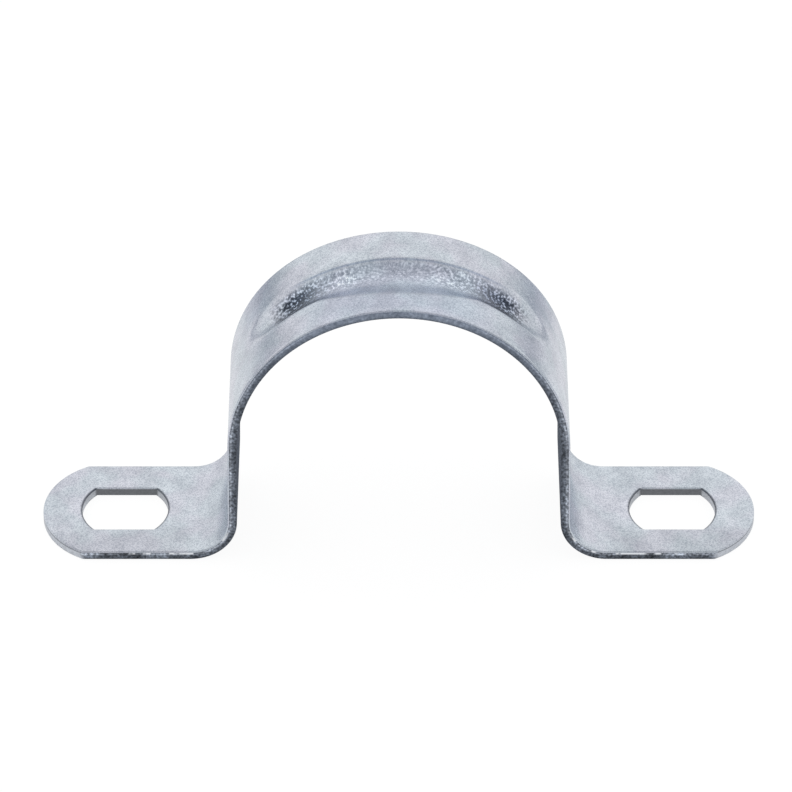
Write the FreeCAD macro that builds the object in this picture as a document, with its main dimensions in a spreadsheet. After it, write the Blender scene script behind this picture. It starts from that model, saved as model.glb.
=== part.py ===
import FreeCAD, Part
import math
import os
import Sketcher

# Two-lug strap clamp for one round cable: a single bent strip of zinc-plated steel.
# +X runs along the strip, +Y across it, +Z up from the surface it is screwed to.
# One half is modelled at x > 0 and mirrored about the middle of the crown.

SIZES = {
    "inner_diameter": 32.0,
    "inner_height": 29.9,
    "sheet_thickness": 0.95,
    "strap_width": 13.9,
    "leg_splay": 1.0,
    "bend_radius": 3.8,
    "overall_length": 72.0,
    "tab_end_rise": 4.3,
    "slot_spacing": 55.4,
    "slot_length": 8.7,
    "slot_width": 6.6,
    "slot_end_rise": 1.35,
    "rib_width": 4.6,
    "rib_depth": 0.9,
    "rib_half_angle": 40.0,
    "edge_draw_in": 0.35,
    "draw_in_length": 30.0,
    "trim_allowance": 2.0,
}

doc = FreeCAD.newDocument("cable_clamp")
sheet = doc.addObject("Spreadsheet::Sheet", "Sizes")
for row, (alias, value) in enumerate(SIZES.items(), start=1):
    sheet.set(f"A{row}", alias)
    sheet.set(f"B{row}", str(value))
    sheet.setAlias(f"B{row}", alias)
doc.recompute()

# Formulas on the sheet's cells, used wherever a sketch or feature needs a derived size.
CROWN_RADIUS = "Sizes.inner_diameter / 2"
CROWN_HEIGHT = "(Sizes.inner_height - Sizes.inner_diameter / 2)"
CROWN_OUTER = "(Sizes.inner_diameter / 2 + Sizes.sheet_thickness)"
RIB_NOSE = "(Sizes.rib_width ^ 2 / 4 + Sizes.rib_depth ^ 2) / (2 * Sizes.rib_depth)"
RIB_PATH_RADIUS = f"({CROWN_OUTER} - Sizes.rib_depth + {RIB_NOSE})"
BEAD_CREST = "(Sizes.inner_diameter / 2 - Sizes.rib_depth)"
RIB_RUN_OUT = f"sqrt({CROWN_OUTER} ^ 2 - {BEAD_CREST} ^ 2) + Sizes.trim_allowance"
DRAW_IN_RADIUS = "(Sizes.draw_in_length ^ 2 / 4 + Sizes.edge_draw_in ^ 2) / (2 * Sizes.edge_draw_in)"
TAB_END = "Sizes.overall_length / 2"
TAB_END_RADIUS = "(Sizes.strap_width ^ 2 / 4 + Sizes.tab_end_rise ^ 2) / (2 * Sizes.tab_end_rise)"
SLOT_END_RADIUS = "(Sizes.slot_width ^ 2 / 4 + Sizes.slot_end_rise ^ 2) / (2 * Sizes.slot_end_rise)"

# The same derived sizes as numbers, which place each sketch's first draft near its solution.
size = SIZES
crown_radius = size["inner_diameter"] / 2
crown_height = size["inner_height"] - crown_radius
crown_outer = crown_radius + size["sheet_thickness"]
rib_nose = (size["rib_width"] ** 2 / 4 + size["rib_depth"] ** 2) / (2 * size["rib_depth"])
rib_path_radius = crown_outer - size["rib_depth"] + rib_nose
rib_run_out = math.sqrt(crown_outer ** 2 - (crown_radius - size["rib_depth"]) ** 2)
rib_run_out += size["trim_allowance"]
blank_end = size["overall_length"] / 2 + size["trim_allowance"]

# Sketcher's own numbers for a curve's points and for a sketch's two axes.
START, END, CENTRE = range(1, 4)
H_AXIS, V_AXIS = range(-1, -3, -1)
UP = FreeCAD.Vector(0, 0, 1)

body = doc.addObject("PartDesign::Body", "ClampStrap")
body.Label = "clamp_strap"


def origin_plane(role):
    return next(f for f in body.Origin.OriginFeatures if f.Role == role)


def new_sketch(name, role):
    sketch = body.newObject("Sketcher::SketchObject", name)
    sketch.AttachmentSupport = [(origin_plane(role), "")]
    sketch.MapMode = "FlatFace"
    return sketch


def line(sketch, start, end, construction=False):
    segment = Part.LineSegment(FreeCAD.Vector(*start, 0), FreeCAD.Vector(*end, 0))
    return sketch.addGeometry(segment, construction)


def circle(sketch, centre, radius):
    return sketch.addGeometry(Part.Circle(FreeCAD.Vector(*centre, 0), UP, radius), False)


def arc(sketch, centre, radius, first_deg, last_deg):
    full = Part.Circle(FreeCAD.Vector(*centre, 0), UP, radius)
    curve = Part.ArcOfCircle(full, math.radians(first_deg), math.radians(last_deg))
    return sketch.addGeometry(curve, False)


def constrain(sketch, *terms):
    return sketch.addConstraint(Sketcher.Constraint(*terms))


def dimension(sketch, name, formula, *terms):
    index = constrain(sketch, *terms)
    sketch.renameConstraint(index, name)
    sketch.setExpression(f"Constraints.{name}", formula)


def polar(centre, radius, angle_deg):
    angle = math.radians(angle_deg)
    return (centre[0] + radius * math.cos(angle), centre[1] + radius * math.sin(angle))


def strap_profile():
    """Half of the strip's side view: crown, leg, bend and tab, drawn as a closed outline."""
    sketch = new_sketch("StrapProfile", "XZ_Plane")
    sheet_t = size["sheet_thickness"]
    splay = size["leg_splay"]
    bend_in = size["bend_radius"]
    bend_out = bend_in + sheet_t
    crown = (0.0, crown_height)
    sine, cosine = math.sin(math.radians(splay)), math.cos(math.radians(splay))
    bend_x = (crown_radius + bend_out - sine * (bend_out - crown_height)) / cosine
    bend = (bend_x, bend_out)

    crown_in = arc(sketch, crown, crown_radius, splay, 90)
    crown_out = arc(sketch, crown, crown_outer, splay, 90)
    apex = line(sketch, polar(crown, crown_radius, 90), polar(crown, crown_outer, 90))
    leg_in = line(sketch, polar(crown, crown_radius, splay), polar(bend, bend_out, 180 + splay))
    leg_out = line(sketch, polar(crown, crown_outer, splay), polar(bend, bend_in, 180 + splay))
    bend_under = arc(sketch, bend, bend_out, 180 + splay, 270)
    bend_over = arc(sketch, bend, bend_in, 180 + splay, 270)
    tab_under = line(sketch, (bend_x, 0), (blank_end, 0))
    tab_end = line(sketch, (blank_end, 0), (blank_end, sheet_t))
    tab_over = line(sketch, (blank_end, sheet_t), (bend_x, sheet_t))

    constrain(sketch, "PointOnObject", crown_in, CENTRE, V_AXIS)
    constrain(sketch, "Coincident", crown_out, CENTRE, crown_in, CENTRE)
    constrain(sketch, "Coincident", apex, START, crown_in, END)
    constrain(sketch, "Coincident", apex, END, crown_out, END)
    constrain(sketch, "PointOnObject", apex, START, V_AXIS)
    constrain(sketch, "PointOnObject", apex, END, V_AXIS)
    constrain(sketch, "Tangent", crown_in, START, leg_in, START)
    constrain(sketch, "Tangent", crown_out, START, leg_out, START)
    constrain(sketch, "Tangent", leg_in, END, bend_under, START)
    constrain(sketch, "Tangent", leg_out, END, bend_over, START)
    constrain(sketch, "Coincident", bend_over, CENTRE, bend_under, CENTRE)
    constrain(sketch, "Tangent", bend_under, END, tab_under, START)
    constrain(sketch, "Tangent", bend_over, END, tab_over, END)
    constrain(sketch, "Coincident", tab_under, END, tab_end, START)
    constrain(sketch, "Coincident", tab_end, END, tab_over, START)
    constrain(sketch, "PointOnObject", tab_under, START, H_AXIS)
    constrain(sketch, "Horizontal", tab_under)
    constrain(sketch, "Horizontal", tab_over)
    constrain(sketch, "Vertical", tab_end)
    dimension(sketch, "CrownRadius", CROWN_RADIUS, "Radius", crown_in, crown_radius)
    dimension(sketch, "InnerHeight", "Sizes.inner_height", "DistanceY", apex, START, size["inner_height"])
    dimension(sketch, "CrownSheet", "Sizes.sheet_thickness", "DistanceY", apex, START, apex, END, sheet_t)
    tab_sheet = "Sizes.sheet_thickness"
    dimension(sketch, "TabSheet", tab_sheet, "DistanceY", tab_end, START, tab_end, END, sheet_t)
    leg_slope = "(Sizes.leg_splay - 90) * 1 deg"
    dimension(sketch, "LegSlope", leg_slope, "Angle", leg_in, math.radians(splay - 90))
    dimension(sketch, "BendRadius", "Sizes.bend_radius", "Radius", bend_over, bend_in)
    blank = f"{TAB_END} + Sizes.trim_allowance"
    dimension(sketch, "BlankEnd", blank, "DistanceX", tab_end, START, blank_end)
    return sketch


def rib_path():
    """Line that the rib's round nose follows: along the crown, then straight off at a tangent."""
    sketch = new_sketch("RibPath", "XZ_Plane")
    crown = (0.0, crown_height)
    turn_deg = 90 - size["rib_half_angle"]
    leave = polar(crown, rib_path_radius, turn_deg)
    along = arc(sketch, crown, rib_path_radius, turn_deg, 90)
    off = line(sketch, leave, polar(leave, rib_run_out, turn_deg - 90))
    constrain(sketch, "PointOnObject", along, CENTRE, V_AXIS)
    constrain(sketch, "PointOnObject", along, END, V_AXIS)
    constrain(sketch, "Tangent", along, START, off, START)
    dimension(sketch, "PathRadius", RIB_PATH_RADIUS, "Radius", along, rib_path_radius)
    dimension(sketch, "PathCentre", CROWN_HEIGHT, "DistanceY", along, CENTRE, crown_height)
    dimension(sketch, "TurnOff", "-Sizes.rib_half_angle * 1 deg", "Angle", off, math.radians(turn_deg - 90))
    dimension(sketch, "RunOut", RIB_RUN_OUT, "Distance", off, rib_run_out)
    return sketch


def rib_section(name, formula, radius):
    """Round section of the rib at the middle of the crown."""
    sketch = new_sketch(name, "YZ_Plane")
    centre_height = crown_height + rib_path_radius
    nose = circle(sketch, (0, centre_height), radius)
    constrain(sketch, "PointOnObject", nose, CENTRE, V_AXIS)
    dimension(sketch, "NoseRadius", formula, "Radius", nose, radius)
    nose_height = f"{CROWN_HEIGHT} + {RIB_PATH_RADIUS}"
    dimension(sketch, "NoseHeight", nose_height, "DistanceY", nose, CENTRE, centre_height)
    return sketch


def pipe(kind, name, section, path):
    feature = body.newObject(f"PartDesign::{kind}", name)
    feature.Profile = section
    feature.Spine = (path, [])
    return feature


def crown_clearance():
    """Everything outside the crown's round outer face, as a ring cut off the bead."""
    sketch = new_sketch("CrownClearance", "YZ_Plane")
    low = crown_height + crown_outer
    rise = 2 * (rib_nose + size["sheet_thickness"]) + size["trim_allowance"]
    half = rib_nose + size["sheet_thickness"] + size["trim_allowance"]
    bottom = line(sketch, (-half, low), (half, low))
    right = line(sketch, (half, low), (half, low + rise))
    top = line(sketch, (half, low + rise), (-half, low + rise))
    left = line(sketch, (-half, low + rise), (-half, low))
    axis = line(sketch, (0, crown_height), (half, crown_height), construction=True)
    for first, second in ((bottom, right), (right, top), (top, left), (left, bottom)):
        constrain(sketch, "Coincident", first, END, second, START)
    constrain(sketch, "Symmetric", bottom, START, bottom, END, V_AXIS)
    constrain(sketch, "Vertical", right)
    constrain(sketch, "Horizontal", top)
    constrain(sketch, "Vertical", left)
    constrain(sketch, "Horizontal", axis)
    constrain(sketch, "PointOnObject", axis, START, V_AXIS)
    constrain(sketch, "Vertical", bottom, END, axis, END)
    half_width = f"{RIB_NOSE} + Sizes.sheet_thickness + Sizes.trim_allowance"
    ring = f"2 * ({RIB_NOSE} + Sizes.sheet_thickness) + Sizes.trim_allowance"
    dimension(sketch, "HalfWidth", half_width, "DistanceX", bottom, END, half)
    dimension(sketch, "RingLow", f"{CROWN_HEIGHT} + {CROWN_OUTER}", "DistanceY", bottom, START, low)
    dimension(sketch, "RingRise", ring, "DistanceY", right, START, right, END, rise)
    dimension(sketch, "AxisHeight", CROWN_HEIGHT, "DistanceY", axis, START, crown_height)
    return sketch


def edge_draw_in():
    """Sliver missing along one edge of the crown, seen from above: pressing the rib draws the edge in."""
    sketch = new_sketch("EdgeSliver", "XY_Plane")
    half_width = size["strap_width"] / 2
    draw = size["edge_draw_in"]
    reach = size["draw_in_length"] / 2
    margin = size["trim_allowance"]
    radius = (reach ** 2 + draw ** 2) / (2 * draw)
    low = half_width - draw
    spread = math.degrees(math.asin(reach / radius))
    edge = arc(sketch, (0, low + radius), radius, -90, spread - 90)
    up = line(sketch, (reach, half_width), (reach, half_width + margin))
    over = line(sketch, (reach, half_width + margin), (0, half_width + margin))
    down = line(sketch, (0, half_width + margin), (0, low))
    for first, second in ((edge, up), (up, over), (over, down), (down, edge)):
        constrain(sketch, "Coincident", first, END, second, START)
    constrain(sketch, "Vertical", up)
    constrain(sketch, "Horizontal", over)
    constrain(sketch, "Vertical", down)
    constrain(sketch, "PointOnObject", down, START, V_AXIS)
    constrain(sketch, "PointOnObject", edge, CENTRE, V_AXIS)
    dimension(sketch, "EdgeRadius", DRAW_IN_RADIUS, "Radius", edge, radius)
    dimension(sketch, "Reach", "Sizes.draw_in_length / 2", "DistanceX", up, START, reach)
    dimension(sketch, "HalfWidth", "Sizes.strap_width / 2", "DistanceY", up, START, half_width)
    dimension(sketch, "Margin", "Sizes.trim_allowance", "Distance", up, margin)
    return sketch


def tab_end_cut():
    """Waste around the tab's rounded end, seen from above."""
    sketch = new_sketch("TabEndWaste", "XY_Plane")
    half_width = size["strap_width"] / 2
    rise = size["tab_end_rise"]
    radius = (half_width ** 2 + rise ** 2) / (2 * rise)
    tip = size["overall_length"] / 2
    corner = tip - rise
    margin = size["trim_allowance"]
    far = blank_end + margin
    side = half_width + margin
    spread = math.degrees(math.atan2(half_width, corner - (tip - radius)))
    end = arc(sketch, (tip - radius, 0), radius, -spread, spread)
    up = line(sketch, (corner, half_width), (corner, side))
    over = line(sketch, (corner, side), (far, side))
    down = line(sketch, (far, side), (far, -side))
    back = line(sketch, (far, -side), (corner, -side))
    close = line(sketch, (corner, -side), (corner, -half_width))
    constrain(sketch, "Coincident", end, END, up, START)
    for first, second in ((up, over), (over, down), (down, back), (back, close)):
        constrain(sketch, "Coincident", first, END, second, START)
    constrain(sketch, "Coincident", close, END, end, START)
    constrain(sketch, "Vertical", up)
    constrain(sketch, "Horizontal", over)
    constrain(sketch, "Vertical", down)
    constrain(sketch, "Horizontal", back)
    constrain(sketch, "Symmetric", up, START, close, END, H_AXIS)
    constrain(sketch, "Symmetric", up, END, close, START, H_AXIS)
    dimension(sketch, "EndRadius", TAB_END_RADIUS, "Radius", end, radius)
    dimension(sketch, "HalfWidth", "Sizes.strap_width / 2", "DistanceY", up, START, half_width)
    dimension(sketch, "Corner", f"{TAB_END} - Sizes.tab_end_rise", "DistanceX", up, START, corner)
    dimension(sketch, "Side", "Sizes.trim_allowance", "Distance", up, margin)
    dimension(sketch, "Far", f"{TAB_END} + 2 * Sizes.trim_allowance", "DistanceX", down, START, far)
    return sketch


def slot_cut():
    """Screw slot with flat sides and shallow round ends, seen from above."""
    sketch = new_sketch("ScrewSlot", "XY_Plane")
    half_width = size["slot_width"] / 2
    rise = size["slot_end_rise"]
    radius = (half_width ** 2 + rise ** 2) / (2 * rise)
    middle = size["slot_spacing"] / 2
    half_flat = size["slot_length"] / 2 - rise
    offset = half_flat + rise - radius
    spread = math.degrees(math.atan2(half_width, radius - rise))
    front = line(sketch, (middle - half_flat, -half_width), (middle + half_flat, -half_width))
    outer = arc(sketch, (middle + offset, 0), radius, -spread, spread)
    rear = line(sketch, (middle + half_flat, half_width), (middle - half_flat, half_width))
    inner = arc(sketch, (middle - offset, 0), radius, 180 - spread, 180 + spread)
    for first, second in ((front, outer), (outer, rear), (rear, inner), (inner, front)):
        constrain(sketch, "Coincident", first, END, second, START)
    constrain(sketch, "Horizontal", front)
    constrain(sketch, "Symmetric", front, START, rear, END, H_AXIS)
    constrain(sketch, "Symmetric", front, END, rear, START, H_AXIS)
    constrain(sketch, "Equal", outer, inner)
    flat = "Sizes.slot_length - 2 * Sizes.slot_end_rise"
    near = f"Sizes.slot_spacing / 2 - ({flat}) / 2"
    dimension(sketch, "EndRadius", SLOT_END_RADIUS, "Radius", outer, radius)
    dimension(sketch, "Width", "Sizes.slot_width", "DistanceY", front, END, rear, START, 2 * half_width)
    dimension(sketch, "Flat", flat, "Distance", front, 2 * half_flat)
    dimension(sketch, "Near", near, "DistanceX", front, START, middle - half_flat)
    return sketch


def through_cut(name, sketch):
    feature = body.newObject("PartDesign::Pocket", name)
    feature.Profile = sketch
    feature.Type = "ThroughAll"
    feature.SideType = "Symmetric"
    return feature


# The bead that the rib raises inside the crown, kept only where it lies within the crown.
path = rib_path()
bead_nose = rib_nose + size["sheet_thickness"]
bead_section = rib_section("BeadSection", f"{RIB_NOSE} + Sizes.sheet_thickness", bead_nose)
bead = pipe("AdditivePipe", "Bead", bead_section, path)
doc.recompute()
bead_trim = body.newObject("PartDesign::Groove", "BeadTrim")
clearance = crown_clearance()
bead_trim.Profile = clearance
bead_trim.ReferenceAxis = (clearance, ["Axis0"])
bead_trim.Angle = 360
doc.recompute()

# The bent strip, the rib pressed into its outer face, the rounded tab end, the slot and the drawn-in edges.
strap = body.newObject("PartDesign::Pad", "Strap")
strap.Profile = strap_profile()
strap.SideType = "Symmetric"
strap.setExpression("Length", "Sizes.strap_width")
doc.recompute()
rib = pipe("SubtractivePipe", "Rib", rib_section("RibSection", RIB_NOSE, rib_nose), path)
doc.recompute()
through_cut("TabEnd", tab_end_cut())
doc.recompute()
through_cut("Slot", slot_cut())
doc.recompute()
near_edge = through_cut("NearEdge", edge_draw_in())
doc.recompute()
far_edge = body.newObject("PartDesign::Mirrored", "FarEdge")
far_edge.Originals = [near_edge]
far_edge.MirrorPlane = (origin_plane("XZ_Plane"), [""])
doc.recompute()

both_halves = body.newObject("PartDesign::Mirrored", "BothHalves")
both_halves.TransformMode = "Whole shape"
both_halves.MirrorPlane = (origin_plane("YZ_Plane"), [""])
body.Tip = both_halves
doc.recompute()

for item in doc.Objects:
    if "Invalid" in item.State or "Error" in item.State:
        raise RuntimeError(f"{item.Name} did not compute: {item.State}")
for item in body.Group:
    if item.isDerivedFrom("Sketcher::SketchObject") and not item.FullyConstrained:
        raise RuntimeError(f"{item.Name} is not fully constrained")
if not body.Shape.isValid() or len(body.Shape.Solids) != 1:
    raise RuntimeError("the strap is not one valid solid")

os.makedirs("parts", exist_ok=True)
body.Shape.exportStep(f"parts/{body.Label}.step")
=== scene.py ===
import math

import bmesh
import bpy
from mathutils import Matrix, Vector


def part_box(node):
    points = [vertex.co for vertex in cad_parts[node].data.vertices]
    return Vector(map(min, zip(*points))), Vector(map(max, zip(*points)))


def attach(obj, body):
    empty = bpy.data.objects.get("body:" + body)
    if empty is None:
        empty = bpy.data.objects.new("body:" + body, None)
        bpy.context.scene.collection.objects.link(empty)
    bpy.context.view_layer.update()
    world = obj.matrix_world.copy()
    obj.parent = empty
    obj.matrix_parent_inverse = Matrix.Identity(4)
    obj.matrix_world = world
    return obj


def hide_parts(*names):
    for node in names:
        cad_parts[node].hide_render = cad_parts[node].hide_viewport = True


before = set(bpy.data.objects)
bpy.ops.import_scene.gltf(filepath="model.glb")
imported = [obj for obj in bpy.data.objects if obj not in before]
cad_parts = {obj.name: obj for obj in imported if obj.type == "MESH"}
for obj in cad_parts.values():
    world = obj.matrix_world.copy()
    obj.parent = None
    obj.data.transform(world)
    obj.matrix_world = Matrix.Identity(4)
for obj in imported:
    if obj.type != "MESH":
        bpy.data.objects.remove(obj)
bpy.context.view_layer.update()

RED_LOSS = 0.8
BLUE_GAIN = 1.4


def grey(level, tint=0.0):
    """Linear grey with alpha. The tint takes from red and adds to blue."""
    return (level * (1 - RED_LOSS * tint), level, level * (1 + BLUE_GAIN * tint), 1)


WHITE = grey(1.0)

# Sizes in metres. The box of the CAD node gives the overall ones.
MM = 0.001
NODE = "clamp_strap"
box_low, box_high = (Vector(corner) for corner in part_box(NODE))
HALF_LENGTH = box_high.x
STRAP_WIDTH = box_high.y - box_low.y
SHEET = 0.95 * MM
CROWN_OUTER = 16.95 * MM
CROWN_HEIGHT = box_high.z - CROWN_OUTER
LEG_SPLAY = math.radians(1.0)
BEND_RADIUS = 3.8 * MM
TAB_END_RISE = 4.3 * MM
SLOT_CENTRE = 27.7 * MM
SLOT_LENGTH = 8.7 * MM
SLOT_WIDTH = 6.6 * MM
SLOT_END_RISE = 1.35 * MM
RIB_WIDTH = 4.6 * MM
RIB_DEPTH = 0.9 * MM
RIB_HALF_ANGLE = math.radians(40.0)
RIB_RUN_OUT_LIMIT = math.radians(45)
EDGE_DRAW_IN = 0.35 * MM
DRAW_IN_REACH = 15.0 * MM

# Rounding of the upper rim and of the burr side, and reach of the painted shade round the slots' ends.
ROLLOVER = 0.14 * MM
BURR = 0.05 * MM
RIM_SHADE_REACH = 0.30 * MM

# Rib's shoulders: the depth over which each blends into the crown, widest and softest in front at the top.
REAR_SHOULDER = 0.06 * MM
FRONT_SHOULDER = 0.20 * MM
TOP_SHOULDER = 0.9 * MM
TOP_SPREAD = 0.45
TOP_SHARE = math.radians(28)
TIP_SHOULDER = 0.36 * MM
TIP_SHARE = (math.radians(30), math.radians(50))

# Mid-line of the strip: crown, leg, bend and tab, each with its length along the sheet.
MID_CROWN = CROWN_OUTER - SHEET / 2
MID_BEND = BEND_RADIUS + SHEET / 2
TURN = math.pi / 2 - LEG_SPLAY
BEND_HEIGHT = BEND_RADIUS + SHEET
BEND_X = (
    CROWN_OUTER + BEND_RADIUS - math.sin(LEG_SPLAY) * (BEND_HEIGHT - CROWN_HEIGHT)
) / math.cos(LEG_SPLAY)
CROWN_RUN = MID_CROWN * TURN
LEG_RUN = BEND_X * math.sin(LEG_SPLAY) + (CROWN_HEIGHT - BEND_HEIGHT) * math.cos(LEG_SPLAY)
BEND_START = CROWN_RUN + LEG_RUN
TAB_START = BEND_START + MID_BEND * TURN
TAB_CORNER = TAB_START + HALF_LENGTH - TAB_END_RISE - BEND_X

# Radii of the arcs at the ends of tabs and slots and across the rib.
TAB_END_RADIUS = ((STRAP_WIDTH / 2) ** 2 + TAB_END_RISE ** 2) / (2 * TAB_END_RISE)
SLOT_END_RADIUS = ((SLOT_WIDTH / 2) ** 2 + SLOT_END_RISE ** 2) / (2 * SLOT_END_RISE)
SLOT_INSET = SLOT_END_RADIUS - SLOT_LENGTH / 2
RIB_NOSE = ((RIB_WIDTH / 2) ** 2 + RIB_DEPTH ** 2) / (2 * RIB_DEPTH)

# Distances from a rim at which grid lines lie, and the even spacing elsewhere.
RIM_STEPS = [0.0, 0.012 * MM, 0.04 * MM, 0.09 * MM, 0.14 * MM]
CELL = 0.26 * MM

# Noises: features for each metre, detail, and stretch where there is one.
GRAIN = (7500, 3)
CLOUDS = (420, 5)
CRACKLE = (3600, 3)
HUES = (240, 2)
MARKS = (3300, 4)
PATCHES = (330, 4)
STREAKS = (1000, 4, (1, 0.2, 0.2))
DASHES = (700, 2, (1, 0.1, 0.1))

# Zinc: tones by noise. A pair of limits below says where a zone begins and where it is full.
CLOUD_TONES = [(0.32, grey(0.63, 0.06)), (0.68, grey(0.78, 0.05))]
GRAIN_TONES = [(0.36, grey(0.68, 0.03)), (0.58, WHITE)]
HUE_TONES = [(0.42, (1.0, 0.98, 1.0, 1)), (0.58, (0.97, 1.0, 1.0, 1))]

# Painted shade on the fronts of the tabs, along and across the strip.
TAB_FRONT_RUN = (TAB_START - 2 * MM, TAB_START + 2 * MM)
TAB_FRONT_SIDE = (-2.0 * MM, -4.6 * MM)
TAB_FRONT_SHADE_TONE = grey(0.91)

# Crown: painted shade on the top in front of the rib and in the rib near the top, and the crazed zinc in
# the rear half of the rib.
NEAR_TOP = (13 * MM, 8 * MM)
TOP_SHADE_TONE = grey(0.88, 0.04)
FRONT_BAND_RISE = (-9.0 * MM, -5.6 * MM)
FRONT_BAND_FALL = (0.5 * MM, -0.5 * MM)
FRONT_BAND_REACH = (14 * MM, 4 * MM)
RIB_FACE = (0.10, 0.45)
REAR_HALF = (-1.4 * MM, 0.4 * MM)
CRAZED_TONES = [(0.38, grey(0.60, 0.06)), (0.52, grey(0.92, 0.04)), (0.61, grey(1.40, 0.02))]
CRAZED_START = (1.5 * MM, 5.5 * MM)
CRAZED_END = (15 * MM, 11.5 * MM)
CRAZED_AT_APEX = 0.4

# Painted shade in the rib's groove at the sides, by run, side and share of the rib's depth, with torn
# limits.
TORN_SPAN = 5 * MM
TORN_ACROSS = 0.4
RIB_SHADE_START = (6.0 * MM, 11.0 * MM)
RIB_SHADE_END = (15.2 * MM, 11.6 * MM)
RIB_SHADE_REAR = (2.9 * MM, 1.0 * MM)
RIB_SHADE_DEPTH = (0.05, 0.80)
RIB_SHADE_TONES = [(0.40, grey(0.10, 0.16)), (0.52, grey(0.17, 0.14)), (0.63, grey(0.60, 0.08))]

# Painted shade: a streak on the band behind the rib, a dark line along the rib's rear edge, and dark rims
# round the slots' ends.
SHADE_STREAK_START = (12.8 * MM, 16 * MM)
SHADE_STREAK_END = (20 * MM, 17 * MM)
SHADE_STREAK_SIDE = (1.4 * MM, 3.4 * MM)
SHADE_STREAK_TONE = grey(0.80, 0.04)
CREASE_START = (0.02, 0.08)
CREASE_END = (0.26, 0.12)
CREASE_SIDE = (0.0, 1.0 * MM)
CREASE_SHADE_TONE = grey(0.72, 0.08)
RIM_SHADE_LIMITS = (0.25, 0.75)
RIM_SHADE_TONE = grey(0.26, 0.04)

# Gloss of the outer face and of the rougher inside, painted shade on the inside, and the zinc's fine
# relief.
INSIDE_SHADE_TONE = grey(0.30, 0.06)
FACE_ROUGHNESS = 0.27
INSIDE_ROUGHNESS = 0.55
GRAIN_RELIEF = 0.30
CRACKLE_RELIEF = 0.45
RELIEF_HEIGHT = 0.10 * MM
FACE_RELIEF = 0.5

# Cut edge: tones by depth, 0 at the inside and 1 at the outside of the sheet, and by noise.
EDGE_ZONES = [
    (0.0, grey(0.09, 0.14)),
    (0.50, grey(0.16, 0.14)),
    (0.66, grey(0.36, 0.10)),
    (0.80, grey(0.22, 0.12)),
]
EDGE_SPECKS = [(0.36, grey(0.45)), (0.50, WHITE), (0.64, grey(1.9))]
EDGE_CLOUDS = [(0.35, grey(0.65)), (0.65, grey(1.25))]
TAB_BLOTCHES = [(0.38, grey(0.36)), (0.62, grey(1.5))]
TAB_EDGE = (BEND_START + 2 * MM, TAB_START + 2 * MM)
EDGE_ROUGHNESS = 0.42
EDGE_RELIEF = 0.7

# Crown's edge: faint streaks at the top, and fewer specks and clouds than on the legs.
STREAK_TONES = [(0.35, grey(0.18, 0.14)), (0.65, grey(0.29, 0.12))]
STREAK_FOOT = (0.45, 0.0)
STREAK_FOOT_TONE = grey(0.12, 0.14)
STREAK_REACH = (14 * MM, 5 * MM)
CALM_REACH = (24 * MM, 10 * MM)
CALM_TONE = grey(1.3, 0.06)
CALM_SPECKS = 0.6
CALM_CLOUDS = 0.7

# Walls of the slots by distance from the strip's middle line, with painted light on their ends.
SLOT_WALL = (SLOT_WIDTH / 2 + 0.3 * MM, SLOT_WIDTH / 2 + 0.1 * MM)
SLOT_WALL_TONES = (grey(0.12, 0.05), grey(0.22, 0.05))
SLOT_END = (SLOT_WIDTH / 2 - 0.05 * MM, SLOT_WIDTH / 2 - 0.30 * MM)
SLOT_END_LIGHT_TONES = (grey(0.34, 0.05), grey(0.62, 0.05))

# Painted glints as bright dashes under the upper rim of bends and tabs, and painted light on the ends of
# the tabs, with a darker band near their upper rim.
DASH_LIMITS = (0.46, 0.54)
DASH_START = (BEND_START, BEND_START + 3 * MM)
DASH_DEPTH = (0.60, 0.70)
GLINT_TONE = grey(0.85, 0.03)
TAB_END = (TAB_CORNER - 0.4 * MM, TAB_CORNER + 0.6 * MM)
TAB_END_LIGHT_TONES = (grey(0.38, 0.07), grey(0.78, 0.05))
TAB_END_RIM = (0.66, 0.80)
TAB_END_RIM_TONE = grey(0.22, 0.08)

# Floor: a white sheet on a greyer table, which only reflections show.
FLOOR_REACH = 3.0
FLOOR_GAP = 0.02 * MM
FLOOR_TONE = grey(0.9)
FLOOR_ROUGHNESS = 0.9
FLOOR_GLOW = 1.08
FLOOR_GLOW_SHARE = 0.85
SHEET_EDGE = (85 * MM, 150 * MM)
TABLE_TONE = grey(0.42, 0.1)
TABLE_UNDER_SHEET = 0.15

# Surroundings by direction: where each shaded zone begins and is full, and how strong it is.
SHADE_TONE = grey(0.10, 0.25)
SIDE_OPENING = (0.48, 0.62)
SIDE_FOOT = (0.18, 0.38)
BACK_WALL = (-0.76, -0.62)
FRONT_WALL = (-0.35, -0.02)
OPENING_SHADE = 0.12
FRONT_OPENING = (0.2, -0.7)
FRONT_SHADE = 0.45
ROOF = (0.72, 0.95)
ROOF_SHADE = 0.35
GAP_SIDE = (0.45, 0.25)
GAP_TOP = (0.46, 0.16)
GAP_SHADE = 0.22
HORIZON = (0.08, 0.0)
HORIZON_SHADE = 0.25

# Camera found by fitting the CAD sizes to the photo's edges, with its focal length in pixels.
CAMERA_ELEVATION = math.radians(37.65)
CAMERA_DISTANCE = 540 * MM
CAMERA_TARGET = Vector((-0.28 * MM, 0, 15.33 * MM))
CAMERA_CLIP_START = 0.01
FOCAL_PIXELS = 5417
PICTURE_WIDTH = 792

# Sockets of the Mix node that carry colour.
MIX_FACTOR = 0
MIX_FIRST = 6
MIX_SECOND = 7
MIX_RESULT = 2


def limited(value):
    """The value kept between 0 and 1."""
    return min(max(value, 0.0), 1.0)


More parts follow.
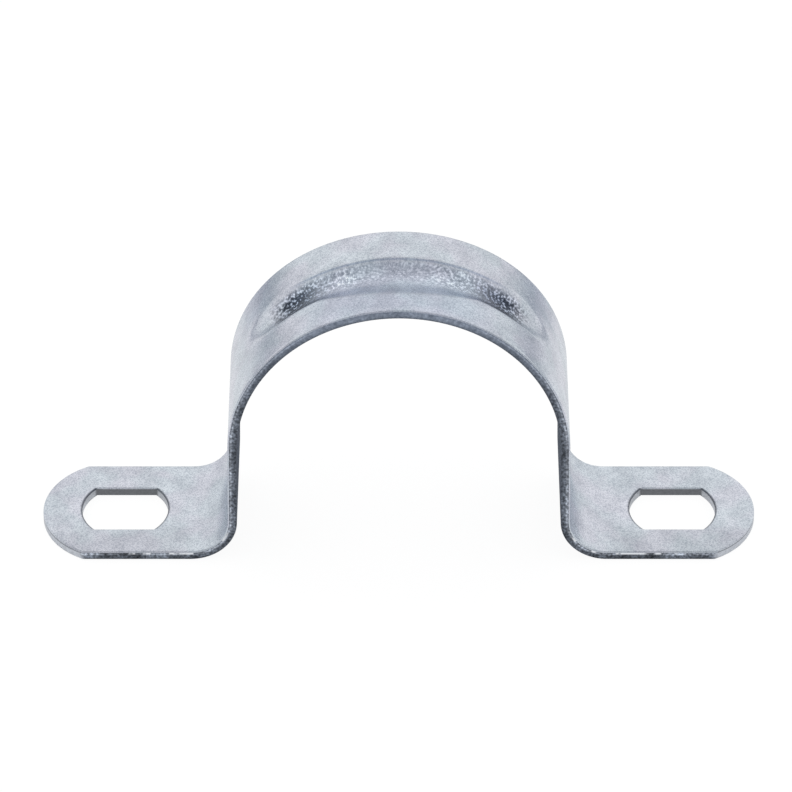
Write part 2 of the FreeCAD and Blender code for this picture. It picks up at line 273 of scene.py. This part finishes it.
def crown_place(run):
    """Point and outward normal of the mid-line in the XZ plane, for a run along the right half."""
    if run <= CROWN_RUN:
        turn = run / MID_CROWN
        normal = Vector((math.sin(turn), math.cos(turn)))
        return Vector((0, CROWN_HEIGHT)) + MID_CROWN * normal, normal
    leg_normal = Vector((math.cos(LEG_SPLAY), math.sin(LEG_SPLAY)))
    if run <= BEND_START:
        down = Vector((math.sin(LEG_SPLAY), -math.cos(LEG_SPLAY)))
        start = Vector((0, CROWN_HEIGHT)) + MID_CROWN * leg_normal
        return start + (run - CROWN_RUN) * down, leg_normal
    if run <= TAB_START:
        turn = LEG_SPLAY + (run - BEND_START) / MID_BEND
        normal = Vector((math.cos(turn), math.sin(turn)))
        return Vector((BEND_X, BEND_HEIGHT)) - MID_BEND * normal, normal
    return Vector((BEND_X + run - TAB_START, SHEET / 2)), Vector((0, 1))


def rib_sink(run, across):
    """How far the pressed rib pushes the sheet inward at a place on the flat strip."""
    turn = abs(run) / MID_CROWN
    past = min(max(turn - RIB_HALF_ANGLE, 0.0), RIB_RUN_OUT_LIMIT)
    depth = CROWN_OUTER - (CROWN_OUTER - RIB_DEPTH) / math.cos(past)
    share_of_front = limited(0.5 - across / RIB_WIDTH)
    at_top = max(0.0, 1 - (turn / TOP_SHARE) ** 2)
    if across < 0:
        across = across / (1 + TOP_SPREAD * at_top)
    if abs(across) >= RIB_NOSE:
        return 0.0
    dip = math.sqrt(RIB_NOSE ** 2 - across ** 2) - RIB_NOSE + depth
    front = FRONT_SHOULDER + (TOP_SHOULDER - FRONT_SHOULDER) * at_top
    soft = REAR_SHOULDER + (front - REAR_SHOULDER) * share_of_front
    at_tip = limited((turn - TIP_SHARE[0]) / (TIP_SHARE[1] - TIP_SHARE[0]))
    soft = soft + (TIP_SHOULDER - soft) * at_tip
    if abs(dip) >= soft:
        return max(dip, 0.0)
    return (dip + soft) ** 2 / (4 * soft)


def slot_reach(across):
    """Half of the slot's length at a distance from its middle line."""
    across = min(abs(across), SLOT_WIDTH / 2)
    return math.sqrt(SLOT_END_RADIUS ** 2 - across ** 2) - SLOT_INSET


def tab_end_x(across):
    """Where the right tab's rounded end lies at a distance from the middle line."""
    return HALF_LENGTH - TAB_END_RADIUS + math.sqrt(TAB_END_RADIUS ** 2 - across ** 2)


def rim_distance(x, across):
    """Distance from a place on the strip to the nearest cut edge, with x measured as on the flat tab."""
    distance = STRAP_WIDTH / 2 - abs(across)
    if x > HALF_LENGTH - 2 * TAB_END_RISE:
        centre = HALF_LENGTH - TAB_END_RADIUS
        distance = min(distance, TAB_END_RADIUS - math.hypot(x - centre, across))
    from_slot = max(
        abs(across) - SLOT_WIDTH / 2,
        math.hypot(x - SLOT_CENTRE - SLOT_INSET, across) - SLOT_END_RADIUS,
        math.hypot(x - SLOT_CENTRE + SLOT_INSET, across) - SLOT_END_RADIUS,
    )
    return max(min(distance, from_slot), 0.0)


def slot_rim_shade(x, across):
    """Strength of the painted shade round the slot's ends, with x as on the flat tab."""
    if abs(across) > SLOT_WIDTH / 2:
        return 0.0
    distance = math.hypot(abs(x - SLOT_CENTRE) + SLOT_INSET, across) - SLOT_END_RADIUS
    return max(0.0, 1 - abs(distance) / RIM_SHADE_REACH)


def rounding(distance, radius):
    """Drop of a rounded rim below the sheet's face."""
    if distance >= radius:
        return 0.0
    return radius - math.sqrt(max(radius ** 2 - (radius - distance) ** 2, 0.0))


def crowd(start, end, at_start, at_end):
    """Positions from start to end, with the rim's fine steps at one or both of its ends."""
    first = RIM_STEPS if at_start else [0.0]
    last = RIM_STEPS if at_end else [0.0]
    inner = end - start - first[-1] - last[-1]
    count = max(2, round(inner / CELL))
    even = [start + first[-1] + inner * i / count for i in range(1, count)]
    return [start + f for f in first] + even + [end - f for f in reversed(last)]


def share(values):
    """The same spacing as numbers from 0 to 1."""
    return [(v - values[0]) / (values[-1] - values[0]) for v in values]


def across_lines():
    """Lines across the strip, fine at its edges and beside the slots."""
    outer = crowd(SLOT_WIDTH / 2, STRAP_WIDTH / 2, True, True)
    middle = crowd(-SLOT_WIDTH / 2, SLOT_WIDTH / 2, False, False)
    return [-v for v in reversed(outer)] + middle[1:-1] + outer


def tab_rows(lines):
    """Rows of the right tab before, beside and beyond its slot, and whether each lies beside it."""
    before = share(crowd(0, SLOT_CENTRE - SLOT_LENGTH / 2 - BEND_X, False, True))
    beside = share(crowd(0, SLOT_LENGTH - 2 * SLOT_END_RISE, False, False))
    beyond = share(crowd(0, HALF_LENGTH - SLOT_CENTRE - SLOT_LENGTH / 2, True, True))
    rows, opens = [], []
    for span, shares in enumerate((before, beside, beyond)):
        for part in shares[1:]:
            row = []
            for across in lines:
                reach = slot_reach(across)
                ends = (BEND_X, SLOT_CENTRE - reach, SLOT_CENTRE + reach, tab_end_x(across))
                start, end = ends[span], ends[span + 1]
                row.append(TAB_START + start + (end - start) * part - BEND_X)
            rows.append(row)
            opens.append(shares is beside)
    return rows, opens


def strip_rows():
    """Rows of the strip from the left tab's end to the right one's: run along it for each line across."""
    lines = across_lines()
    right_rows, right_opens = tab_rows(lines)
    left_rows = [[-run for run in row] for row in reversed(right_rows)]
    count = round(2 * TAB_START / CELL)
    arch_rows = [[-TAB_START + 2 * TAB_START * i / count for _ in lines] for i in range(count + 1)]
    rows = left_rows + arch_rows + right_rows
    opens = list(reversed(right_opens)) + [False] * count + right_opens
    return lines, rows, opens


def edge_draw(x, height):
    """How far the crown's edge is drawn in beside the pressed rib."""
    if abs(x) >= DRAW_IN_REACH or height < CROWN_HEIGHT:
        return 0.0
    radius = (DRAW_IN_REACH ** 2 + EDGE_DRAW_IN ** 2) / (2 * EDGE_DRAW_IN)
    return EDGE_DRAW_IN - radius + math.sqrt(radius ** 2 - x ** 2)


def place(run, across, offset):
    """Point in space for a place on the flat strip at an offset from its mid-plane."""
    point, normal = crown_place(abs(run))
    side = math.copysign(1.0, run)
    out = point + normal * offset
    narrowed = 1 - edge_draw(out.x, out.y) / (STRAP_WIDTH / 2)
    return Vector((side * out.x, across * narrowed, out.y))


def build_strap():
    """The whole strap as one closed mesh: both faces from the flat pattern, then the cut edge."""
    lines, rows, opens = strip_rows()
    mesh = bmesh.new()
    flat = mesh.verts.layers.float_vector.new("flat")
    press = mesh.verts.layers.float.new("press")
    inside = mesh.verts.layers.float.new("inside")
    # The last layer holds the strength of the painted shade round the slots' ends.
    rim_shade = mesh.verts.layers.float.new("rim_shade")
    corners = {}

    def in_hole(band, line):
        middle = (lines[line] + lines[line + 1]) / 2
        return opens[band] and abs(middle) < SLOT_WIDTH / 2

    def corner(row, line, upper):
        key = (row, line, upper)
        if key not in corners:
            run, across = rows[row][line], lines[line]
            tab_x = abs(run) - TAB_START + BEND_X
            distance = rim_distance(tab_x, across)
            sink = rib_sink(run, across)
            if upper:
                offset = SHEET / 2 - rounding(distance, ROLLOVER)
            else:
                offset = rounding(distance, BURR) - SHEET / 2
            vert = mesh.verts.new(place(run, across, offset - sink))
            vert[flat] = (run, across, offset)
            vert[press] = sink / RIB_DEPTH
            vert[inside] = 0.0 if upper else 1.0
            vert[rim_shade] = slot_rim_shade(tab_x, across)
            corners[key] = vert
        return corners[key]

    open_edges = {}
    for band in range(len(rows) - 1):
        for line in range(len(lines) - 1):
            if in_hole(band, line):
                continue
            ring = [(band, line), (band + 1, line), (band + 1, line + 1), (band, line + 1)]
            mesh.faces.new([corner(*spot, True) for spot in ring])
            mesh.faces.new([corner(*spot, False) for spot in reversed(ring)])
            for first, second in zip(ring, ring[1:] + ring[:1]):
                if (second, first) in open_edges:
                    del open_edges[(second, first)]
                else:
                    open_edges[(first, second)] = True
    for first, second in open_edges:
        upper_side = [corner(*second, True), corner(*first, True)]
        lower_side = [corner(*first, False), corner(*second, False)]
        mesh.faces.new(upper_side + lower_side).material_index = 1
    for face in mesh.faces:
        face.smooth = True
    data = bpy.data.meshes.new("strap")
    mesh.to_mesh(data)
    mesh.free()
    strap = bpy.data.objects.new("strap", data)
    bpy.context.scene.collection.objects.link(strap)
    return strap


def new_material(name):
    """A material with its node tree and its shader."""
    material = bpy.data.materials.new(name)
    material.use_nodes = True
    tree = material.node_tree
    return material, tree, tree.nodes["Principled BSDF"]


def feed(tree, value, socket):
    """Link a socket to another, or set it to a plain value."""
    if isinstance(value, bpy.types.NodeSocket):
        tree.links.new(value, socket)
    else:
        socket.default_value = value


def attribute(tree, name):
    """Node that reads one of the mesh's vertex layers."""
    node = tree.nodes.new("ShaderNodeAttribute")
    node.attribute_name = name
    return node


def separate(tree, vector):
    """The X, Y and Z of a vector."""
    node = tree.nodes.new("ShaderNodeSeparateXYZ")
    tree.links.new(vector, node.inputs["Vector"])
    return node.outputs


def noise(tree, source, scale, detail, stretch=(1, 1, 1)):
    """Noise that follows the strip's own flat coordinates."""
    mapping = tree.nodes.new("ShaderNodeMapping")
    mapping.inputs["Scale"].default_value = stretch
    texture = tree.nodes.new("ShaderNodeTexNoise")
    texture.inputs["Scale"].default_value = scale
    texture.inputs["Detail"].default_value = detail
    tree.links.new(source, mapping.inputs["Vector"])
    tree.links.new(mapping.outputs["Vector"], texture.inputs["Vector"])
    return texture.outputs["Fac"]


def ramp(tree, source, stops):
    """Colour that runs through the stops as the source rises."""
    node = tree.nodes.new("ShaderNodeValToRGB")
    elements = node.color_ramp.elements
    while len(elements) < len(stops):
        elements.new(0.5)
    for element, (position, colour) in zip(elements, stops):
        element.position = position
        element.color = colour
    tree.links.new(source, node.inputs["Fac"])
    return node.outputs["Color"]


def mix(tree, factor, first, second, blend="MIX"):
    """Two colours mixed by a factor."""
    node = tree.nodes.new("ShaderNodeMix")
    node.data_type = "RGBA"
    node.blend_type = blend
    feed(tree, factor, node.inputs[MIX_FACTOR])
    feed(tree, first, node.inputs[MIX_FIRST])
    feed(tree, second, node.inputs[MIX_SECOND])
    return node.outputs[MIX_RESULT]


def multiplied(tree, first, second):
    """Two colours multiplied."""
    return mix(tree, 1.0, first, second, "MULTIPLY")


def toned(tree, factor, colour, tone):
    """A colour that is multiplied by a tone as far as the factor says."""
    return mix(tree, factor, colour, multiplied(tree, colour, tone))


def math_node(tree, operation, *values):
    """One operation on numbers."""
    node = tree.nodes.new("ShaderNodeMath")
    node.operation = operation
    for value, socket in zip(values, node.inputs):
        feed(tree, value, socket)
    return node.outputs[0]


def product(tree, first, *others):
    """All the values multiplied."""
    for other in others:
        first = math_node(tree, "MULTIPLY", first, other)
    return first


def largest(tree, first, *others):
    """The largest of the values."""
    for other in others:
        first = math_node(tree, "MAXIMUM", first, other)
    return first


def steps(tree, source, first, last):
    """Smooth change from 0 at the first value to 1 at the last, which may be the smaller one."""
    node = tree.nodes.new("ShaderNodeMapRange")
    node.interpolation_type = "SMOOTHSTEP"
    node.inputs["From Min"].default_value = first
    node.inputs["From Max"].default_value = last
    tree.links.new(source, node.inputs["Value"])
    return node.outputs["Result"]


def between(tree, source, rise, fall):
    """Smooth rise from 0 to 1 within one pair of limits and fall to 0 within another."""
    return product(tree, steps(tree, source, *rise), steps(tree, source, *fall))


def bump(tree, bsdf, height, strength):
    """Fine relief on a surface."""
    node = tree.nodes.new("ShaderNodeBump")
    node.inputs["Distance"].default_value = RELIEF_HEIGHT
    node.inputs["Strength"].default_value = strength
    tree.links.new(height, node.inputs["Height"])
    tree.links.new(node.outputs["Normal"], bsdf.inputs["Normal"])


def zinc_face():
    """Dull zinc plating: bluish grey with grain and clouds, crazed in the rib, with painted shade on the
    tab fronts, on the top of the crown, in and behind the rib, along its rear edge, round the slots' ends
    and on the inside.
    """
    material, tree, bsdf = new_material("zinc_face")
    where = attribute(tree, "flat").outputs["Vector"]
    pressed = attribute(tree, "press").outputs["Fac"]
    inside = attribute(tree, "inside").outputs["Fac"]
    # Strength of the painted shade round the slots' ends.
    rim_shade = attribute(tree, "rim_shade").outputs["Fac"]
    spot = separate(tree, where)
    along = math_node(tree, "ABSOLUTE", spot["X"])
    across = spot["Y"]

    # Plain zinc, and painted shade on the fronts of the tabs.
    grain = noise(tree, where, *GRAIN)
    crackle = noise(tree, where, *CRACKLE)
    base = ramp(tree, noise(tree, where, *CLOUDS), CLOUD_TONES)
    hues = ramp(tree, noise(tree, where, *HUES), HUE_TONES)
    colour = multiplied(tree, multiplied(tree, base, hues), ramp(tree, grain, GRAIN_TONES))
    tab_front_shade = product(tree, steps(tree, along, *TAB_FRONT_RUN), steps(tree, across, *TAB_FRONT_SIDE))
    colour = toned(tree, tab_front_shade, colour, TAB_FRONT_SHADE_TONE)

    # Painted shade on the top of the crown in front of the rib and in the rib, and crazed zinc in the rib.
    near_top = steps(tree, along, *NEAR_TOP)
    in_rib = steps(tree, pressed, *RIB_FACE)
    stretched = product(tree, in_rib, steps(tree, across, *REAR_HALF))
    smooth = toned(tree, near_top, colour, TOP_SHADE_TONE)
    crazed = multiplied(tree, colour, ramp(tree, crackle, CRAZED_TONES))
    from_apex = steps(tree, along, *CRAZED_START)
    lively = math_node(tree, "MULTIPLY_ADD", from_apex, 1 - CRAZED_AT_APEX, CRAZED_AT_APEX)
    lively = product(tree, stretched, lively, steps(tree, along, *CRAZED_END))
    front_band = between(tree, across, FRONT_BAND_RISE, FRONT_BAND_FALL)
    front_band_shade = product(tree, front_band, steps(tree, along, *FRONT_BAND_REACH))
    colour = mix(tree, front_band_shade, colour, smooth)
    colour = mix(tree, in_rib, colour, mix(tree, lively, smooth, crazed))

    # Painted shade in patches in the rib's outer face, and a streak of painted shade on the band behind it.
    torn = math_node(tree, "MULTIPLY_ADD", crackle, TORN_SPAN, -TORN_SPAN / 2)
    torn_along = math_node(tree, "ADD", along, torn)
    torn_across = math_node(tree, "ADD", across, math_node(tree, "MULTIPLY", torn, TORN_ACROSS))
    rib_shade = product(
        tree,
        between(tree, torn_along, RIB_SHADE_START, RIB_SHADE_END),
        steps(tree, torn_across, *RIB_SHADE_REAR),
        steps(tree, pressed, *RIB_SHADE_DEPTH),
        math_node(tree, "SUBTRACT", 1.0, inside),
    )
    colour = toned(tree, rib_shade, colour, ramp(tree, crackle, RIB_SHADE_TONES))
    shade_streak = between(tree, torn_along, SHADE_STREAK_START, SHADE_STREAK_END)
    shade_streak = product(tree, shade_streak, steps(tree, torn_across, *SHADE_STREAK_SIDE))
    colour = toned(tree, shade_streak, colour, SHADE_STREAK_TONE)

    # Painted shade along the rib's rear edge, and round the slots' ends.
    crease_shade = between(tree, pressed, CREASE_START, CREASE_END)
    crease_shade = product(tree, crease_shade, steps(tree, across, *CREASE_SIDE), near_top)
    colour = toned(tree, crease_shade, colour, CREASE_SHADE_TONE)
    colour = toned(tree, steps(tree, rim_shade, *RIM_SHADE_LIMITS), colour, RIM_SHADE_TONE)

    # Painted shade on the inside, in colour and in reflections, then gloss and relief.
    inside_shade = mix(tree, inside, WHITE, INSIDE_SHADE_TONE)
    tree.links.new(multiplied(tree, colour, inside_shade), bsdf.inputs["Base Color"])
    tree.links.new(inside_shade, bsdf.inputs["Specular Tint"])
    rough = math_node(tree, "MULTIPLY_ADD", inside, INSIDE_ROUGHNESS - FACE_ROUGHNESS, FACE_ROUGHNESS)
    tree.links.new(rough, bsdf.inputs["Roughness"])
    bsdf.inputs["Metallic"].default_value = 1.0
    shallow = math_node(tree, "MULTIPLY", grain, GRAIN_RELIEF)
    coarse = math_node(tree, "MULTIPLY", crackle, CRACKLE_RELIEF)
    bump(tree, bsdf, math_node(tree, "MULTIPLY_ADD", coarse, stretched, shallow), FACE_RELIEF)
    return material


def sheared_edge():
    """Cut edge of the sheet: dark and crumbly, with dark slot walls, painted glints as bright dashes, and
    painted light on the slots' ends and the tab ends.
    """
    material, tree, bsdf = new_material("sheared_edge")
    where = attribute(tree, "flat").outputs["Vector"]
    spot = separate(tree, where)
    along = math_node(tree, "ABSOLUTE", spot["X"])
    from_middle = math_node(tree, "ABSOLUTE", spot["Y"])
    depth = math_node(tree, "MULTIPLY_ADD", spot["Z"], 1 / SHEET, 0.5)

    # Edge of crown, legs and tabs.
    marks = noise(tree, where, *MARKS)
    patches = noise(tree, where, *PATCHES)
    struck = ramp(tree, noise(tree, where, *STREAKS), STREAK_TONES)
    struck = mix(tree, steps(tree, depth, *STREAK_FOOT), struck, STREAK_FOOT_TONE)
    zones = mix(tree, steps(tree, along, *STREAK_REACH), ramp(tree, depth, EDGE_ZONES), struck)
    calm = steps(tree, along, *CALM_REACH)
    few_specks = math_node(tree, "MULTIPLY", calm, CALM_SPECKS)
    specks = mix(tree, few_specks, ramp(tree, marks, EDGE_SPECKS), CALM_TONE)
    clouds = ramp(tree, patches, EDGE_CLOUDS)
    clouds = mix(tree, steps(tree, along, *TAB_EDGE), clouds, ramp(tree, patches, TAB_BLOTCHES))
    clouds = mix(tree, math_node(tree, "MULTIPLY", calm, CALM_CLOUDS), clouds, WHITE)
    colour = multiplied(tree, multiplied(tree, zones, specks), clouds)

    # Walls of the slots, with painted light making them paler at their ends.
    in_slot = steps(tree, from_middle, *SLOT_WALL)
    colour = mix(tree, in_slot, colour, mix(tree, marks, *SLOT_WALL_TONES))
    colour = mix(tree, steps(tree, from_middle, *SLOT_END), colour, mix(tree, marks, *SLOT_END_LIGHT_TONES))

    # Painted glints as bright dashes on the outer edges, and painted light on the tabs' ends.
    dashes = product(
        tree,
        steps(tree, noise(tree, where, *DASHES), *DASH_LIMITS),
        steps(tree, along, *DASH_START),
        steps(tree, depth, *DASH_DEPTH),
        math_node(tree, "SUBTRACT", 1.0, in_slot),
    )
    colour = mix(tree, dashes, colour, GLINT_TONE)
    # Painted light on the tabs' ends, with a darker band near their upper rim.
    lit_end = mix(tree, marks, *TAB_END_LIGHT_TONES)
    lit_end = mix(tree, steps(tree, depth, *TAB_END_RIM), lit_end, TAB_END_RIM_TONE)
    colour = mix(tree, steps(tree, along, *TAB_END), colour, lit_end)

    tree.links.new(colour, bsdf.inputs["Base Color"])
    bsdf.inputs["Metallic"].default_value = 1.0
    bsdf.inputs["Roughness"].default_value = EDGE_ROUGHNESS
    bump(tree, bsdf, marks, EDGE_RELIEF)
    return material


def build_floor():
    """Ground that is white to the eye, keeps a faint shadow and mirrors as a sheet on a greyer table."""
    data = bpy.data.meshes.new("floor")
    signs = ((-1, -1), (1, -1), (1, 1), (-1, 1))
    data.from_pydata([(x * FLOOR_REACH, y * FLOOR_REACH, 0) for x, y in signs], [], [(0, 1, 2, 3)])
    floor = bpy.data.objects.new("floor", data)
    floor.location.z = -FLOOR_GAP
    bpy.context.scene.collection.objects.link(floor)
    material, tree, bsdf = new_material("white_ground")
    bsdf.inputs["Base Color"].default_value = FLOOR_TONE
    bsdf.inputs["Roughness"].default_value = FLOOR_ROUGHNESS
    path = tree.nodes.new("ShaderNodeLightPath")
    coordinates = tree.nodes.new("ShaderNodeTexCoord")
    far = tree.nodes.new("ShaderNodeVectorMath")
    far.operation = "LENGTH"
    tree.links.new(coordinates.outputs["Object"], far.inputs[0])
    beyond = steps(tree, far.outputs["Value"], *SHEET_EDGE)
    beyond = math_node(tree, "MULTIPLY_ADD", beyond, 1 - TABLE_UNDER_SHEET, TABLE_UNDER_SHEET)
    table = math_node(tree, "MULTIPLY", beyond, path.outputs["Is Glossy Ray"])
    glow = tree.nodes.new("ShaderNodeEmission")
    glow.inputs["Strength"].default_value = FLOOR_GLOW
    tree.links.new(mix(tree, table, WHITE, TABLE_TONE), glow.inputs["Color"])
    seen = largest(tree, path.outputs["Is Camera Ray"], path.outputs["Is Glossy Ray"])
    blend = tree.nodes.new("ShaderNodeMixShader")
    tree.links.new(math_node(tree, "MULTIPLY", seen, FLOOR_GLOW_SHARE), blend.inputs["Fac"])
    tree.links.new(bsdf.outputs["BSDF"], blend.inputs[1])
    tree.links.new(glow.outputs["Emission"], blend.inputs[2])
    tree.links.new(blend.outputs["Shader"], tree.nodes["Material Output"].inputs["Surface"])
    data.materials.append(material)
    return floor


def build_world():
    """White surroundings, partly shaded at the sides, in front, overhead and low behind."""
    world = bpy.data.worlds.new("tent")
    bpy.context.scene.world = world
    world.use_nodes = True
    tree = world.node_tree
    coordinates = tree.nodes.new("ShaderNodeTexCoord")
    direction = separate(tree, coordinates.outputs["Generated"])
    sideways = math_node(tree, "ABSOLUTE", direction["X"])
    forward = math_node(tree, "MULTIPLY", direction["Y"], -1.0)
    behind = steps(tree, direction["Y"], *FRONT_WALL)
    opening = product(
        tree,
        steps(tree, sideways, *SIDE_OPENING),
        steps(tree, direction["Z"], *SIDE_FOOT),
        steps(tree, forward, *BACK_WALL),
        behind,
        OPENING_SHADE,
    )
    front = product(tree, steps(tree, direction["Y"], *FRONT_OPENING), FRONT_SHADE)
    roof = product(tree, steps(tree, direction["Z"], *ROOF), ROOF_SHADE)
    gap = product(
        tree,
        steps(tree, direction["Z"], *GAP_TOP),
        steps(tree, sideways, *GAP_SIDE),
        GAP_SHADE,
        behind,
    )
    horizon = product(tree, steps(tree, direction["Z"], *HORIZON), HORIZON_SHADE, behind)

    # The camera itself sees plain white.
    path = tree.nodes.new("ShaderNodeLightPath")
    unseen = math_node(tree, "SUBTRACT", 1.0, path.outputs["Is Camera Ray"])
    shade = product(tree, largest(tree, opening, front, roof, gap, horizon), unseen)
    background = tree.nodes["Background"]
    tree.links.new(mix(tree, shade, WHITE, SHADE_TONE), background.inputs["Color"])
    background.inputs["Strength"].default_value = 1.0


def build_camera():
    """Camera at the photo's viewing angle."""
    data = bpy.data.cameras.new("camera")
    data.sensor_fit = "HORIZONTAL"
    data.lens = FOCAL_PIXELS / PICTURE_WIDTH * data.sensor_width
    data.clip_start = CAMERA_CLIP_START
    camera = bpy.data.objects.new("camera", data)
    back = Vector((0, -math.cos(CAMERA_ELEVATION), math.sin(CAMERA_ELEVATION)))
    camera.location = CAMERA_TARGET + CAMERA_DISTANCE * back
    camera.rotation_euler = (-back).to_track_quat("-Z", "Y").to_euler()
    bpy.context.scene.collection.objects.link(camera)
    bpy.context.scene.camera = camera


strap = build_strap()
strap.data.materials.append(zinc_face())
strap.data.materials.append(sheared_edge())
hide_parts(NODE)
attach(strap, "root")

floor = build_floor()
build_world()
build_camera()
bpy.context.scene.view_settings.view_transform = "Standard"
